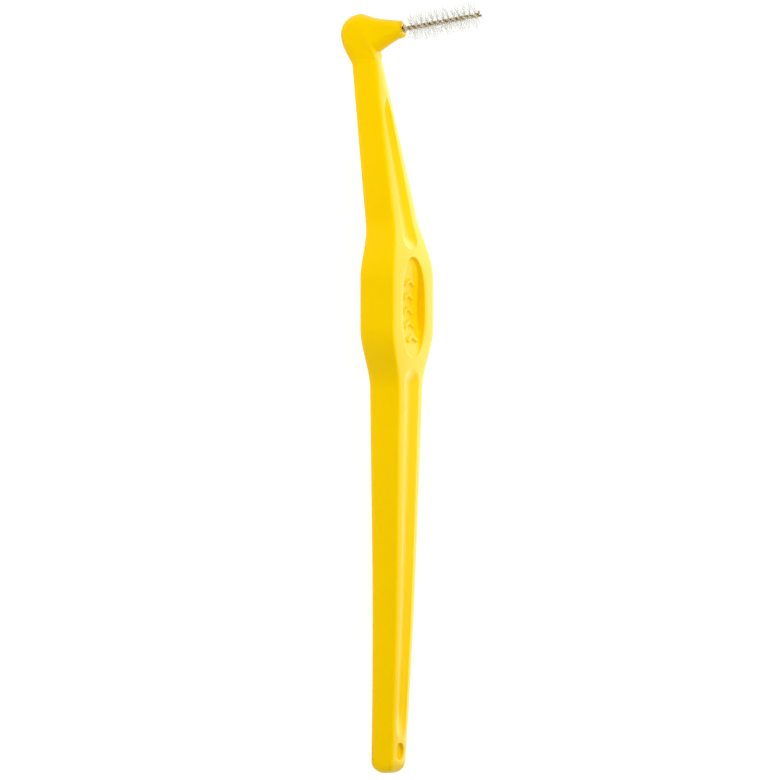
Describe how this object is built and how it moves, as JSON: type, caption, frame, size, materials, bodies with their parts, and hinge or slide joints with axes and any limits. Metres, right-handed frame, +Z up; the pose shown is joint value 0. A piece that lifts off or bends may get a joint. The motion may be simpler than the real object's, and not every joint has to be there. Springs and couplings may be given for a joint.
{
  "type": "interdental brush",
  "caption": "Interdental brush with a long bent handle, a thumb grip with a ribbed recess, and a twisted-wire filament brush square to the angled head.",
  "frame": {"origin": "middle of the bounding box's bottom face; the part lies on its back on the edge of its tail and the back of its head", "axes": "+X from the tail to the head, +Z up, the way the filament brush points, +Y across the handle"},
  "size_m": [0.1206, 0.0148, 0.0248],
  "materials": {
    "handle_plastic": "smooth moulded polypropylene, satin gloss",
    "steel_wire": "drawn stainless wire",
    "wire_plastic": "thin golden-brown coating",
    "nylon_filament": "translucent nylon monofilament"
  },
  "bodies": {
    "root": {"handle": "handle_plastic", "wire": "steel_wire", "wire_coating": "wire_plastic", "tuft_1": "nylon_filament", "tuft_2": "nylon_filament", "tuft_3": "nylon_filament", "tuft_4": "nylon_filament", "tuft_5": "nylon_filament", "tuft_6": "nylon_filament", "tuft_7": "nylon_filament"}
  },
  "joints": []
}
